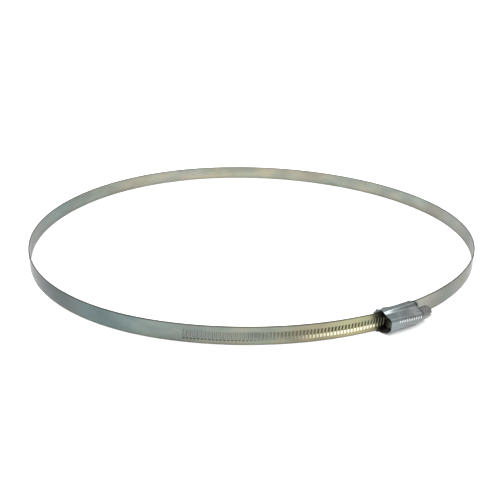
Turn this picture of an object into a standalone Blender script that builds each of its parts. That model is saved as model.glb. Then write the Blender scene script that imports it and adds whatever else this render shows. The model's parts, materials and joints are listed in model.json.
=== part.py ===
"""Worm-drive hose clamp for a hose of about 350 mm: a steel band closed on itself by a screw in a housing.

Frame: +Z is the clamp's own axis, the housing is on the -Y side and the screw runs along X, its head at +X.
The loop is laid out from the middle of the housing, with +Y pointing into the loop, and moved at the end.
"""

from math import atan2, ceil, cos, hypot, pi, radians, sin, tan

import bmesh
import bpy
import numpy as np
from mathutils import Vector

MM = 0.001

# Band: one strip, drawn as rigid arcs that meet at hinges
BAND_WIDTH = 12 * MM
BAND_THICKNESS = 0.9 * MM
ARC_COUNT = 12
ARC_STEPS = 10                  # flat facets along each arc
FLOW_STEPS = 12                 # the same, along the plates held under the tail
MEAN_RADIUS = 174.7 * MM
LOBE = 0.123                    # share by which the radius of curvature swells at the three flatter sides
LOBE_PHASE = radians(6.4)
HINGE_GAP = 0.3 * MM
PLATE_GAP = 0.3 * MM            # between stacked or facing sheets

# Threaded tail: the stretch of band that slides through the housing
TAIL_RADIUS = 187 * MM          # of its mid-thickness surface
TAIL_TIP = 15.5 * MM            # arc length past the middle of the housing, towards the screw head
TAIL_TIP_CORNER = 4 * MM
TAIL_ROOT = 150 * MM            # arc length to the first hinge, away from the head
THREADED_LENGTH = 139 * MM
THREAD_PITCH = 2.2 * MM
GROOVE_DEPTH = 0.5 * MM
GROOVE_MOUTH = 1.5 * MM
GROOVE_FLOOR = 0.9 * MM
GROOVE_REACH = 3.1 * MM         # half the length of a groove, across the band
GROOVE_END_RAMP = 0.6 * MM
GROOVE_RIM = 0.1 * MM           # left at the band's edge where a groove runs out over it
LAST_GROOVE = 7                 # counted from the groove at the middle of the housing
ROOT_STEPS = 4
CORNER_STEPS = 7

# Fixed end of the band, held between the tail and the saddle
ANCHOR_LEFT = -12 * MM
ANCHOR_RIGHT = 3.8 * MM
BAND_ENTRY = 7.0 * MM           # where the last arc ends, inside the housing

# Housing: a pressed shell, open at the left end
SHELL_LEFT = -15.5 * MM
SHELL_RIGHT = 11 * MM
SHELL_THICKNESS = 0.6 * MM
SHELL_BEND = 0.9 * MM           # outer radius of its folds
BEND_STEPS = 3
LEFT_SECTION = (                # corners (height above the band, distance along Z), upper foot to lower foot
    (-0.9, 7.4), (1.9, 7.1), (3.8, 6.1), (9.0, 4.8), (9.8, 3.4),
    (9.8, -2.0), (7.3, -5.0), (1.5, -7.3), (-0.9, -7.4),
)
RIGHT_SECTION = (
    (-0.9, 7.1), (1.6, 6.8), (3.4, 5.1), (9.4, 2.6), (10.3, 0.9),
    (10.2, -1.9), (7.3, -5.0), (1.5, -7.3), (-0.9, -7.3),
)
SKIRT_FEET = (                  # (x, height) of the shell's feet, which reach down beside the saddle
    (-15.5, -0.9), (-12.5, -2.8), (-8.6, -1.7), (-3.5, -0.8), (11, -0.9),
)
END_WALL = 0.8 * MM
END_WALL_STEPS = 16             # facets of the opening that holds the neck
END_WALL_INSET = 0.05 * MM
END_WALL_BORE = 3.2 * MM
END_WALL_MOUTH = radians(40)    # half the angle that the bore leaves open towards the band
END_WALL_FOOT = 1.1 * MM        # height of the wall's lower edge above the tail's mid surface

# Saddle: the plate under the band, with two tabs that guide the band's edges
SADDLE_THICKNESS = 1.0 * MM
SADDLE_LEFT = -19.2 * MM
SADDLE_HALF_WIDTH = 6.2 * MM
TAB_INNER = 6.35 * MM
TAB_THICKNESS = 0.8 * MM
TAB_TOP = 0.6 * MM
TAB_FOOT = 1 * MM               # how far a tab reaches into the plate's edge
TAB_INSET = 0.1 * MM            # of a tab from the plate's faces and end
TAB_STEPS = 3
TAB_RIGHT = SHELL_LEFT - PLATE_GAP

# Worm screw
TURNED_SIDES = 32
WORM_RADIUS = 4.2 * MM
WORM_ROOT = 3.1 * MM
WORM_MESH = 0.35 * MM           # how deep the thread reaches into the grooves
SCREW_OFFSET = -0.7 * MM        # its axis lies this far below the band's centre line
THREAD_CREST = 0.7 * MM
THREAD_BASE = 1.3 * MM
THREAD_LEFT = -11.5 * MM
THREAD_TURNS = 8.5
THREAD_STEPS = 24               # facets of the ridge in a turn
THREAD_RUNOUT = 0.4             # turns over which the ridge rises and sinks
THREAD_SINK = 0.4 * MM          # how far the ridge's body reaches into the core
THREAD_LOWEST = 0.05 * MM       # height of the ridge's very ends over the core
WORM_LEFT = -13 * MM
WORM_CHAMFER = 0.5 * MM
WORM_RIGHT = 9.7 * MM
NECK_RADIUS = 2.8 * MM
COLLAR_RADIUS = 3.9 * MM
COLLAR_LEFT = 11.4 * MM
COLLAR_WIDTH = 0.9 * MM
HEAD_FLATS = 7 * MM
HEAD_RIGHT = 20.3 * MM
HEAD_CHAMFER = 0.7 * MM
CROWN_SIDES = 48
CROWN_RIM = 0.05 * MM           # from the hexagon's corners to the circle where their rounding starts
CROWN_TOP = 0.02 * MM           # taken off the head's end face
CROWN_FACE_INSET = 0.1 * MM     # of the round end face from the hexagon's flats
NECK_IN_HEAD = 3 * MM           # the neck ends this far short of the head's end face
SLOT_WIDTH = 1.2 * MM
SLOT_DEPTH = 2 * MM
CUT_MARGIN = 1 * MM             # by which a cutting body passes the one that it cuts

FLOW_CENTRE = Vector((0, TAIL_RADIUS, 0))
ANCHOR_RADIUS = TAIL_RADIUS - BAND_THICKNESS - PLATE_GAP
SADDLE_RADIUS = ANCHOR_RADIUS - BAND_THICKNESS / 2 - PLATE_GAP - SADDLE_THICKNESS / 2
SCREW_HEIGHT = BAND_THICKNESS / 2 + WORM_RADIUS - WORM_MESH
SCREW_CENTRE = Vector((SCREW_HEIGHT, SCREW_OFFSET))
GROOVE_ANGLE = THREAD_PITCH / (TAIL_RADIUS + BAND_THICKNESS / 2)


def clear_scene():
    for obj in list(bpy.data.objects):
        bpy.data.objects.remove(obj, do_unlink=True)


def material(name, colour, roughness):
    made = bpy.data.materials.new(name)
    made.use_nodes = True
    shader = made.node_tree.nodes["Principled BSDF"]
    shader.inputs["Base Color"].default_value = (*colour, 1)
    shader.inputs["Metallic"].default_value = 1
    shader.inputs["Roughness"].default_value = roughness
    return made


def piece(name, verts, faces, finish, pivot=Vector()):
    """An object whose origin is at pivot, from points given in the clamp's frame."""
    mesh = bpy.data.meshes.new(name)
    mesh.from_pydata([Vector(v) - pivot for v in verts], [], faces)
    shape = bmesh.new()
    shape.from_mesh(mesh)
    bmesh.ops.recalc_face_normals(shape, faces=shape.faces)
    shape.to_mesh(mesh)
    shape.free()
    mesh.materials.append(finish)
    mesh.shade_smooth()
    mesh.set_sharp_from_angle(angle=radians(25))
    obj = bpy.data.objects.new(name, mesh)
    obj.location = pivot
    bpy.context.scene.collection.objects.link(obj)
    return obj


def cut(obj, tool, operation):
    """Applies a Boolean with a tool object, and removes the tool."""
    modifier = obj.modifiers.new(operation.title(), "BOOLEAN")
    modifier.operation = operation
    modifier.object = tool
    bpy.context.view_layer.update()
    graph = bpy.context.evaluated_depsgraph_get()
    made = bpy.data.meshes.new_from_object(obj.evaluated_get(graph))
    obj.modifiers.clear()
    old, obj.data = obj.data, made
    bpy.data.meshes.remove(old)
    bpy.data.objects.remove(tool, do_unlink=True)
    made.shade_smooth()
    made.set_sharp_from_angle(angle=radians(25))


def loft(sections):
    """Verts and faces of a closed body through equal, closed outlines."""
    size = len(sections[0])
    verts = [point for outline in sections for point in outline]
    faces = [tuple(reversed(range(size)))]
    for row in range(len(sections) - 1):
        for i in range(size):
            a, b = row * size + i, row * size + (i + 1) % size
            faces.append((a, b, b + size, a + size))
    last = (len(sections) - 1) * size
    faces.append(tuple(last + i for i in range(size)))
    return verts, faces


def flow_point(along, radius, z):
    """A point at an arc length along the tail's circle, moved to a radius about the same centre."""
    angle = along / TAIL_RADIUS
    return FLOW_CENTRE + Vector((radius * sin(angle), -radius * cos(angle), z))


def screw_point(x, height, z):
    """A point in the housing's straight frame: height is measured outwards from the tail's mid surface."""
    return Vector((x, -height, z))


# Loop


def travel(start, end):
    """Displacement per unit radius along an arc, for headings counted clockwise from -X."""
    return np.array([sin(start) - sin(end), cos(start) - cos(end)])


def band_arcs():
    """Start point, start heading, radius and turn of each arc, from the tail round to the fixed end.

    All arcs turn by the same angle. Their radii follow the lobes, plus a first harmonic that closes the loop.
    """
    first = TAIL_ROOT / TAIL_RADIUS
    last = 2 * pi - BAND_ENTRY / TAIL_RADIUS
    turn = (last - first) / ARC_COUNT
    middles = first + turn * (np.arange(ARC_COUNT) + 0.5)
    steps = np.array([travel(m - turn / 2, m + turn / 2) for m in middles])
    radii = MEAN_RADIUS * (1 + LOBE * np.cos(3 * (middles - LOBE_PHASE)))
    start = np.array(flow_point(-TAIL_ROOT, TAIL_RADIUS, 0)[:2])
    goal = np.array(flow_point(BAND_ENTRY, ANCHOR_RADIUS, 0)[:2])
    missing = goal - start - radii @ steps
    harmonics = np.array([np.cos(middles), np.sin(middles)])
    radii = radii + np.linalg.solve((harmonics @ steps).T, missing) @ harmonics
    arcs = []
    for middle, step, radius in zip(middles, steps, radii):
        arcs.append((Vector((*start, 0)), float(middle - turn / 2), float(radius), turn))
        start = start + radius * step
    return arcs


def strip(sweep, inner, outer, low, high):
    """A bent strip of rectangular section: sweep lists (centre, heading) pairs along its length."""
    sections = []
    for centre, heading in sweep:
        out = Vector((-sin(heading), -cos(heading), 0))
        sections.append([centre + out * r + Vector((0, 0, z))
                         for r, z in ((inner, low), (inner, high), (outer, high), (outer, low))])
    return loft(sections)


def flow_strip(left, right, inner, outer, low, high, steps=FLOW_STEPS):
    """A strip on the tail's circle between two arc lengths."""
    sweep = [(FLOW_CENTRE, -along / TAIL_RADIUS) for along in np.linspace(right, left, steps + 1)]
    return strip(sweep, inner, outer, low, high)


def build_band_arc(index, start, heading, radius, turn, finish):
    centre = start + radius * Vector((sin(heading), cos(heading), 0))
    trim = HINGE_GAP / 2 / radius
    sweep = [(centre, angle) for angle in np.linspace(heading + trim, heading + turn - trim, ARC_STEPS + 1)]
    half = BAND_THICKNESS / 2
    verts, faces = strip(sweep, radius - half, radius + half, -BAND_WIDTH / 2, BAND_WIDTH / 2)
    return piece(f"band_arc_{index:02d}", verts, faces, finish, start)


# Tail


def tail_half_width(along):
    """Half the band's width at a place on the tail, less where the tip's corners are rounded."""
    into_corner = along - (TAIL_TIP - TAIL_TIP_CORNER)
    if into_corner <= 0:
        return BAND_WIDTH / 2
    return BAND_WIDTH / 2 - TAIL_TIP_CORNER + (TAIL_TIP_CORNER**2 - into_corner**2) ** 0.5


def groove_depth(along):
    """Depth of the pressed profile at an arc length. The last groove runs out over the tip."""
    if along < -THREADED_LENGTH:
        return 0.0
    spacing = GROOVE_ANGLE * TAIL_RADIUS
    nearest = round(along / spacing)
    if nearest == LAST_GROOVE and along > nearest * spacing:
        return GROOVE_DEPTH
    ramp = (GROOVE_MOUTH - GROOVE_FLOOR) / 2
    return GROOVE_DEPTH * min(1.0, max(0.0, (GROOVE_MOUTH / 2 - abs(along - nearest * spacing)) / ramp))


def tail_stations():
    """Arc lengths where the tail's section changes, from its root to its tip."""
    spacing = GROOVE_ANGLE * TAIL_RADIUS
    first = -int((THREADED_LENGTH - GROOVE_MOUTH) / spacing)
    found = list(np.linspace(HINGE_GAP / 2 - TAIL_ROOT, -THREADED_LENGTH, ROOT_STEPS))
    for groove in range(first, LAST_GROOVE + 1):
        for side in (-GROOVE_MOUTH / 2, -GROOVE_FLOOR / 2, GROOVE_FLOOR / 2, GROOVE_MOUTH / 2):
            found.append(groove * spacing + side)
    for i in range(1, CORNER_STEPS + 1):
        found.append(TAIL_TIP - TAIL_TIP_CORNER * (1 - sin(pi / 2 * i / CORNER_STEPS)))
    return sorted(along for along in found if along <= TAIL_TIP)


def build_tail(finish):
    """The threaded tail: a bent strip whose outer face carries the pressed grooves."""
    lean = THREAD_PITCH / (2 * pi * WORM_RADIUS)
    outer, inner = TAIL_RADIUS + BAND_THICKNESS / 2, TAIL_RADIUS - BAND_THICKNESS / 2
    rows = []
    for along in tail_stations():
        half = tail_half_width(along)
        depth = groove_depth(along)
        room = half - GROOVE_RIM
        row = [flow_point(along, inner, -half), flow_point(along, outer, -half)]
        for z, floor in ((-GROOVE_REACH, False), (GROOVE_END_RAMP - GROOVE_REACH, True),
                         (GROOVE_REACH - GROOVE_END_RAMP, True), (GROOVE_REACH, False)):
            place = z + SCREW_OFFSET
            over_edge = abs(place) > room
            if over_edge:
                place = (room if floor else room + GROOVE_RIM / 2) * (1 if place > 0 else -1)
            shift = lean * z if along < TAIL_TIP - TAIL_TIP_CORNER else 0
            row.append(flow_point(along + shift, outer - (depth if floor or over_edge else 0), place))
        row += [flow_point(along, outer, half), flow_point(along, inner, half)]
        rows.append(row)
    verts, faces = loft(rows)
    return piece("threaded_tail", verts, faces, finish, FLOW_CENTRE)


# Housing


def rounded(corners, radius, steps=BEND_STEPS):
    """The corners of an open polyline, each replaced by points on an arc that touches both of its sides."""
    points = [Vector(corners[0])]
    for before, corner, after in zip(corners, corners[1:], corners[2:]):
        into = (Vector(corner) - Vector(before)).normalized()
        out = (Vector(after) - Vector(corner)).normalized()
        bend = into.angle_signed(out)
        reach = radius * tan(abs(bend) / 2)
        for i in range(steps + 1):
            share = i / steps
            a = Vector(corner) - into * reach * (1 - share) ** 2
            points.append(a + out * reach * share**2)
    points.append(Vector(corners[-1]))
    return points


def offset(points, distance):
    """An open polyline moved sideways by a distance, to the right of its direction."""
    moved = []
    for i, point in enumerate(points):
        near = points[max(i - 1, 0):i + 2]
        sides = [(b - a).normalized() for a, b in zip(near, near[1:])]
        normals = [Vector((side.y, -side.x)) for side in sides]
        normal = sum(normals, Vector((0, 0))).normalized()
        moved.append(point + normal * distance / normal.dot(normals[0]))
    return moved


def shell_outline(x, inset=0.0):
    """The outer line of the shell's section, from its upper foot to its lower foot."""
    share = (x - SHELL_LEFT) / (SHELL_RIGHT - SHELL_LEFT)
    corners = [Vector(a).lerp(Vector(b), share) * MM for a, b in zip(LEFT_SECTION, RIGHT_SECTION)]
    corners[0].x = corners[-1].x = np.interp(x / MM, *zip(*SKIRT_FEET)) * MM
    return offset(rounded(corners, SHELL_BEND), inset)


def build_housing(finish):
    """The pressed shell with the wall at its right end that holds the screw's neck."""
    sections = []
    for place, _ in SKIRT_FEET:
        line = shell_outline(place * MM) + shell_outline(place * MM, SHELL_THICKNESS)[::-1]
        sections.append([screw_point(place * MM, height, z) for height, z in line])
    shell = piece("housing", *loft(sections), finish)
    rim = [point for point in shell_outline(SHELL_RIGHT, SHELL_THICKNESS / 2) if point.x > END_WALL_FOOT]
    opening = []
    for angle in np.linspace(END_WALL_MOUTH - pi, pi - END_WALL_MOUTH, END_WALL_STEPS + 1):
        opening.append(SCREW_CENTRE + END_WALL_BORE * Vector((cos(angle), sin(angle))))
    foot = [Vector((END_WALL_FOOT, z)) for z in (rim[-1].y, opening[0].y, opening[-1].y, rim[0].y)]
    line = rim + foot[:2] + opening + foot[2:]
    ends = (SHELL_RIGHT - END_WALL, SHELL_RIGHT - END_WALL_INSET)
    wall = [[screw_point(x, height, z) for height, z in line] for x in ends]
    cut(shell, piece("end_wall", *loft(wall), finish), "UNION")
    return shell


def build_saddle(finish):
    """The curved plate under the band, with its two upright tabs."""
    half = SADDLE_THICKNESS / 2
    plate = flow_strip(SADDLE_LEFT, SHELL_RIGHT, SADDLE_RADIUS - half, SADDLE_RADIUS + half,
                       -SADDLE_HALF_WIDTH, SADDLE_HALF_WIDTH)
    saddle = piece("saddle", *plate, finish)
    left, right = SADDLE_LEFT + TAB_INSET, TAB_RIGHT
    inner, outer = SADDLE_RADIUS - half + TAB_INSET, SADDLE_RADIUS + half - TAB_INSET
    for side in (-1, 1):
        root = SADDLE_HALF_WIDTH - TAB_FOOT
        profile = ((inner, root), (outer, root), (outer, TAB_INNER), (TAIL_RADIUS + TAB_TOP, TAB_INNER),
                   (TAIL_RADIUS + TAB_TOP, TAB_INNER + TAB_THICKNESS), (inner, TAB_INNER + TAB_THICKNESS))
        sections = []
        for along in np.linspace(left, right, TAB_STEPS + 1):
            sections.append([flow_point(along, radius, side * z) for radius, z in profile])
        cut(saddle, piece("tab", *loft(sections), finish), "UNION")
    return saddle


# Screw


def turned(profile, sides=TURNED_SIDES):
    """A body turned about the screw's axis from (x, radius) points, with flat ends."""
    return loft([[screw_ray(x, radius, 2 * pi * i / sides) for i in range(sides)] for x, radius in profile])


def screw_ray(x, radius, angle):
    """A point round the screw's axis, at an angle about +X counted from +Y."""
    return screw_point(x, SCREW_HEIGHT - radius * cos(angle), SCREW_OFFSET + radius * sin(angle))


def thread_ridge():
    """The helical ridge: a trapezoid swept round the core, rising from it and sinking back at the ends."""
    per_turn = THREAD_STEPS
    count = ceil(THREAD_TURNS * per_turn)
    phase = THREAD_LEFT / THREAD_PITCH
    sections = []
    for i in range(count + 1):
        turns = i / per_turn
        height = min(1.0, turns / THREAD_RUNOUT, (count - i) / per_turn / THREAD_RUNOUT)
        angle = 2 * pi * (turns + phase)
        middle = THREAD_LEFT + turns * THREAD_PITCH
        crest = WORM_ROOT + THREAD_LOWEST + (WORM_RADIUS - WORM_ROOT - THREAD_LOWEST) * height
        base = WORM_ROOT - THREAD_SINK
        profile = ((-THREAD_BASE / 2, base), (-THREAD_CREST / 2, crest), (THREAD_CREST / 2, crest),
                   (THREAD_BASE / 2, base))
        sections.append([screw_ray(middle + along, radius, angle) for along, radius in profile])
    return loft(sections)


def build_screw(finish):
    """The worm with its neck, collar and slotted hexagon head."""
    pivot = screw_point(0, SCREW_HEIGHT, SCREW_OFFSET)
    collar_right = COLLAR_LEFT + COLLAR_WIDTH
    core = ((WORM_LEFT, WORM_ROOT - WORM_CHAMFER), (WORM_LEFT + WORM_CHAMFER, WORM_ROOT),
            (WORM_RIGHT, WORM_ROOT), (COLLAR_LEFT, NECK_RADIUS), (COLLAR_LEFT, COLLAR_RADIUS),
            (collar_right, COLLAR_RADIUS), (collar_right, NECK_RADIUS),
            (HEAD_RIGHT - NECK_IN_HEAD, NECK_RADIUS))
    screw = piece("worm_screw", *turned(core), finish, pivot)
    cut(screw, piece("ridge", *thread_ridge(), finish), "UNION")
    corner = HEAD_FLATS / 2 / cos(pi / 6)
    head_left = COLLAR_LEFT + COLLAR_WIDTH / 2
    head = piece("head", *turned(((head_left, corner), (HEAD_RIGHT, corner)), 6), finish)
    crown = ((head_left - CUT_MARGIN, corner + CUT_MARGIN), (HEAD_RIGHT - HEAD_CHAMFER, corner + CROWN_RIM),
             (HEAD_RIGHT - CROWN_TOP, HEAD_FLATS / 2 - CROWN_FACE_INSET))
    cut(head, piece("crown", *turned(crown, CROWN_SIDES), finish), "INTERSECT")
    reach, wide = corner + 2 * CUT_MARGIN, SLOT_WIDTH / 2
    slot = []
    for x in (HEAD_RIGHT - SLOT_DEPTH, HEAD_RIGHT + CUT_MARGIN):
        corners = ((-reach, -wide), (reach, -wide), (reach, wide), (-reach, wide))
        slot.append([screw_ray(x, hypot(y, z), atan2(z, y)) for y, z in corners])
    cut(screw, head, "UNION")
    cut(screw, piece("slot", *loft(slot), finish), "DIFFERENCE")
    return screw


def place_on_ground(pieces):
    """Moves the clamp so that the middle of its bounding box's base is at the origin."""
    bpy.context.view_layer.update()
    corners = np.array([obj.matrix_world @ vertex.co for obj in pieces for vertex in obj.data.vertices])
    low, high = corners.min(axis=0), corners.max(axis=0)
    shift = Vector((-(low[0] + high[0]) / 2, -(low[1] + high[1]) / 2, -low[2]))
    for obj in pieces:
        obj.location += shift


def main():
    clear_scene()
    band_steel = material("band_steel", (0.50, 0.50, 0.45), 0.35)
    housing_steel = material("housing_steel", (0.42, 0.45, 0.46), 0.35)
    screw_steel = material("screw_steel", (0.40, 0.41, 0.40), 0.4)
    pieces = [build_tail(band_steel)]
    for index, arc in enumerate(band_arcs(), 1):
        pieces.append(build_band_arc(index, *arc, band_steel))
    half = BAND_THICKNESS / 2
    fixed_end = flow_strip(ANCHOR_LEFT, ANCHOR_RIGHT, ANCHOR_RADIUS - half, ANCHOR_RADIUS + half,
                           -BAND_WIDTH / 2, BAND_WIDTH / 2)
    pieces.append(piece("band_fixed_end", *fixed_end, band_steel))
    pieces.append(build_saddle(housing_steel))
    pieces.append(build_housing(housing_steel))
    pieces.append(build_screw(screw_steel))
    place_on_ground(pieces)


main()
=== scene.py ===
"""The look of the worm-drive hose clamp: a fine surface for each piece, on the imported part's bodies.

Frame: +Z is the clamp's own axis and the housing is on the -Y side. In the housing's own terms, x runs
along the screw towards its head, height is measured outwards from the tail's mid surface, and z is the
clamp's Z, counted from the middle of the band. Places along the band are arc lengths from the middle of the
housing. Along the tail they count towards the screw's head. Round the loop, and in the "Strip" layer that the
band's material reads, they count the other way, out of the housing's left end.
"""

import json
from math import asin, atan2, cos, hypot, pi, radians, sin, tan

import bmesh
import bpy
import numpy as np
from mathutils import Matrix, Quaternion, Vector


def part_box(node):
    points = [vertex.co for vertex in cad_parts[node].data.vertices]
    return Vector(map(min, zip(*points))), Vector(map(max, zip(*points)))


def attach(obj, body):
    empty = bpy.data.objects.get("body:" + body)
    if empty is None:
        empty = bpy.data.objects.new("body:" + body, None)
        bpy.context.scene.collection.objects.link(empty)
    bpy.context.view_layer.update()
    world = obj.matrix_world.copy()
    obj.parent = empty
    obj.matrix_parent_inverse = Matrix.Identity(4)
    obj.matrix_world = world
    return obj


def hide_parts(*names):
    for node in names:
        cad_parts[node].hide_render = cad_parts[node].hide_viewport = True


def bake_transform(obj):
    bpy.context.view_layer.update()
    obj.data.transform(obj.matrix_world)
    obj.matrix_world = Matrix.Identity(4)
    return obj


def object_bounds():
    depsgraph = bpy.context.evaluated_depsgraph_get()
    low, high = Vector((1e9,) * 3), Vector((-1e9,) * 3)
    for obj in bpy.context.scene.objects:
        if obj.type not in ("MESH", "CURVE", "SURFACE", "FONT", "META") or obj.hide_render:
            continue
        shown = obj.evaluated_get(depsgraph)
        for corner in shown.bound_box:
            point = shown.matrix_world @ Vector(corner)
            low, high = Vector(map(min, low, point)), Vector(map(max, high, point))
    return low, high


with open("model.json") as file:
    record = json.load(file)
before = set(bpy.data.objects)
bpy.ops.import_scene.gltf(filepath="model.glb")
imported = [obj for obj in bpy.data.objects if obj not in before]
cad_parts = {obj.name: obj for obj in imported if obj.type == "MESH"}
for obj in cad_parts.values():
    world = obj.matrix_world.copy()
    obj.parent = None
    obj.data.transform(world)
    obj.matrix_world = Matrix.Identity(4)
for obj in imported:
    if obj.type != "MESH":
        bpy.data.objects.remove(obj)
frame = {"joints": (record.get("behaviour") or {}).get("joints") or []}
cad_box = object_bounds()

MM = 0.001

# Places read from the frame
JOINTS = {joint["name"]: joint for joint in frame["joints"]}
CENTRE = Vector(JOINTS["band_feed"]["pos_m"])                   # of the circle that the tail slides on
HINGES = [Vector(joint["pos_m"]) for name, joint in sorted(JOINTS.items()) if name.startswith("band_flex")]
SCREW_AXIS = Vector(JOINTS["screw_turn"]["pos_m"])
TAIL_RADIUS = (HINGES[0] - CENTRE).length
TAIL_ROOT = TAIL_RADIUS * atan2(CENTRE.x - HINGES[0].x, CENTRE.y - HINGES[0].y)
HOUSING_LOW, HOUSING_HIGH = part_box("housing")
SADDLE_LOW, SADDLE_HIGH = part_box("saddle")
SCREW_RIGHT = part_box("worm_screw")[1].x
ANCHOR_LOW, ANCHOR_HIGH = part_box("band_fixed_end")
HALF_WIDTH = (ANCHOR_HIGH.z - ANCHOR_LOW.z) / 2

# Band
BAND_THICKNESS = 0.9 * MM
PLATE_GAP = 0.3 * MM
EDGE_RADIUS = 0.22 * MM
BAND_STEP = 1.6 * MM            # between sections of the plain band
TAIL_STEP = 0.6 * MM            # between sections of the tail's plain stretch
ROUND_STEPS = 4                 # sections or spans round a small edge
BEND_START = 142 * MM           # arc length where the tail's own piece ends, past its last groove
THREAD_PITCH = 2.2 * MM
GROOVE_DEPTH = 0.46 * MM
GROOVE_MOUTH = 1.5 * MM
GROOVE_FLOOR = 0.5              # share of the mouth that is as deep as the groove gets
GROOVE_REACH = 3.2 * MM         # half of a groove's length, across the band
GROOVE_RAMP = 1.3 * MM          # where a groove's lower end comes back up to the face
GROOVE_SAMPLES = 12             # sections per groove
THREADED_LENGTH = 139 * MM
LAST_GROOVE = 7                 # the one nearest the tip, counted from the middle of the housing
TAIL_TIP = 15.5 * MM
TAIL_TIP_CORNER = 4 * MM
TIP_STEPS = 20                  # sections round the tip's corners
FACE_TOP = (0.9, 0.7, 0.52)     # rows across the tail's outer face, as shares of its flat half width
GROOVED_ROWS = (0.42, -0.66, 30)        # first, last and number of the rows that the grooves shape
FACE_BOTTOM = (-0.75, -0.9)
LEAN_RUN = 1 * MM               # at the tail's ends, where the sections take up the grooves' lean
LEAN_FADE = 1.5 * MM            # beside the band's edges, where the sections lose it again
SLACK = 0.05 * MM               # kept between faces that would otherwise coincide

# Housing
SHELL_THICKNESS = 0.6 * MM
SHELL_BEND = 0.9 * MM
RIM_RADIUS = 0.15 * MM
SHELL_STEP = 0.16 * MM
LEFT_SECTION = (                # corners (height, z) in millimetres, upper foot to lower foot
    (-0.9, 7.4), (1.9, 7.1), (3.8, 6.1), (9.0, 4.8), (9.8, 3.4),
    (9.8, -2.0), (7.3, -5.0), (1.5, -7.3), (-0.9, -7.4),
)
RIGHT_SECTION = (
    (-0.9, 7.1), (1.6, 6.8), (3.4, 5.1), (9.4, 2.6), (10.3, 0.9),
    (10.2, -1.9), (7.3, -5.0), (1.5, -7.3), (-0.9, -7.3),
)
SKIRT_FEET = (                  # (x, height) of the feet in millimetres: they reach down beside the saddle
    (-15.5, -0.9), (-12.5, -2.8), (-8.6, -1.7), (-3.5, -0.8), (11, -0.9),
)
BEND_STEPS = 5                  # spans round each bend of the section
FACE_SPANS = 4                  # spans across each flat face of the section
DASH_FACE = 4                   # index of the outermost face, between two corners
DASH_FACE_SPANS = 24
DASH_FACE_FROM = 9 * MM         # height above which the section is the outermost face
END_WALL = 0.8 * MM
END_WALL_BORE = 3.2 * MM
END_WALL_MOUTH = radians(40)    # half of the angle over which the bore is open towards the band
END_WALL_FOOT = 1.1 * MM        # height where the wall stops, above the tail
END_WALL_BORE_STEPS = 33
DASH_COUNT = 10
DASH_PITCH = 1.9 * MM
DASH_FIRST = -8.6 * MM
DASH_LENGTH = 0.5 * MM          # half of a dash's straight part, across the housing
DASH_WIDTH = 0.4 * MM           # half of a dash's mouth
DASH_FLOOR = 0.4                # share of the mouth that is as deep as the dash gets
DASH_DEPTH = 0.12 * MM
DASH_Z = (1.6 * MM, -0.06)      # z of the row at the housing's middle, and its slope
DASH_LEAN = 0.25
DARK_END = 2.2 * MM                # dark stretch at the shell's right end, above the dashes
DARK_END_FOOT = 1.8 * MM           # lowest z of the stain
DARK_END_SHARE = 0.95

# Saddle
SADDLE_THICKNESS = 1.0 * MM
SADDLE_HALF_WIDTH = 6.2 * MM
TAB_INNER = 6.35 * MM
TAB_THICKNESS = 0.8 * MM
TAB_TOP = 0.6 * MM
TAB_RIGHT = -15.8 * MM
TAB_BEND = 0.9 * MM
TAB_BEND_STEPS = 6
TAB_CORNER = 0.2 * MM
TAB_LAP = 1 * MM                # how far a tab's foot overlaps the plate
TAB_SECTIONS = 5
LOWER_TAB_LEFT = -16.7 * MM
TAB_SLANT = 0.8                 # how far the tab's left end leans back, as a share of the tab's length
TAB_SLANT_TOP = -0.9 * MM       # height above which it does not lean
PLATE_CORNER = 3.4 * MM
PLATE_CORNER_STEPS = 13
PLATE_STEPS = 20
SADDLE_BEVEL = (0.12 * MM, 2, 50)       # width, segments, and the least angle of an edge that it takes

# Worm screw
WORM_RADIUS = 4.2 * MM
WORM_ROOT = 3.1 * MM
THREAD_CREST = 0.62 * MM
THREAD_BASE = 1.25 * MM
THREAD_ROUND = 0.12 * MM        # drop from the crest's middle to its shoulders
THREAD_SUNK = 0.4 * MM          # how far the ridge's base lies inside the core
THREAD_LEFT = -11.5 * MM
THREAD_TURNS = 8.5
THREAD_RUNOUT = 0.4             # share of a turn in which the ridge rises or sinks back
THREAD_STEPS = 48               # sections per turn
WORM_LEFT = -13 * MM
WORM_RIGHT = 9.7 * MM
WORM_NOSE = ((0, 0.5), (0.15, 0.2), (0.5, 0))   # (x from the left end, drop from the core) in millimetres
TURNED_SIDES = 64
NECK_RADIUS = 2.8 * MM
COLLAR_RADIUS = 3.9 * MM
COLLAR_LEFT = 11.4 * MM
COLLAR_WIDTH = 0.9 * MM
COLLAR_EDGE = 0.15 * MM
HEAD_FLATS = 7 * MM
HEAD_CORNER = HEAD_FLATS / 2 / cos(pi / 6)
HEAD_CROWN = ((0.7, 0.05), (0.25, -0.35))       # millimetres back from the end, and past the corners' radius
HEAD_FACE_INSET = 0.25 * MM     # from the flats to the end face's rim
HEAD_BEVEL = (0.16 * MM, 3, 25)
CROWN_SIDES = 96
CROWN_GAP = 0.02 * MM           # between the crown's end and the hexagon's
CUT_MARGIN = 1 * MM             # how far a cutter reaches past what it cuts
NECK_LAP = 3 * MM               # how far the neck reaches into the head
SLOT_WIDTH = 1.2 * MM
SLOT_DEPTH = 2 * MM
SLOT_REACH = 6 * MM             # half of the slot cutter's length, past the head's corners

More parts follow.
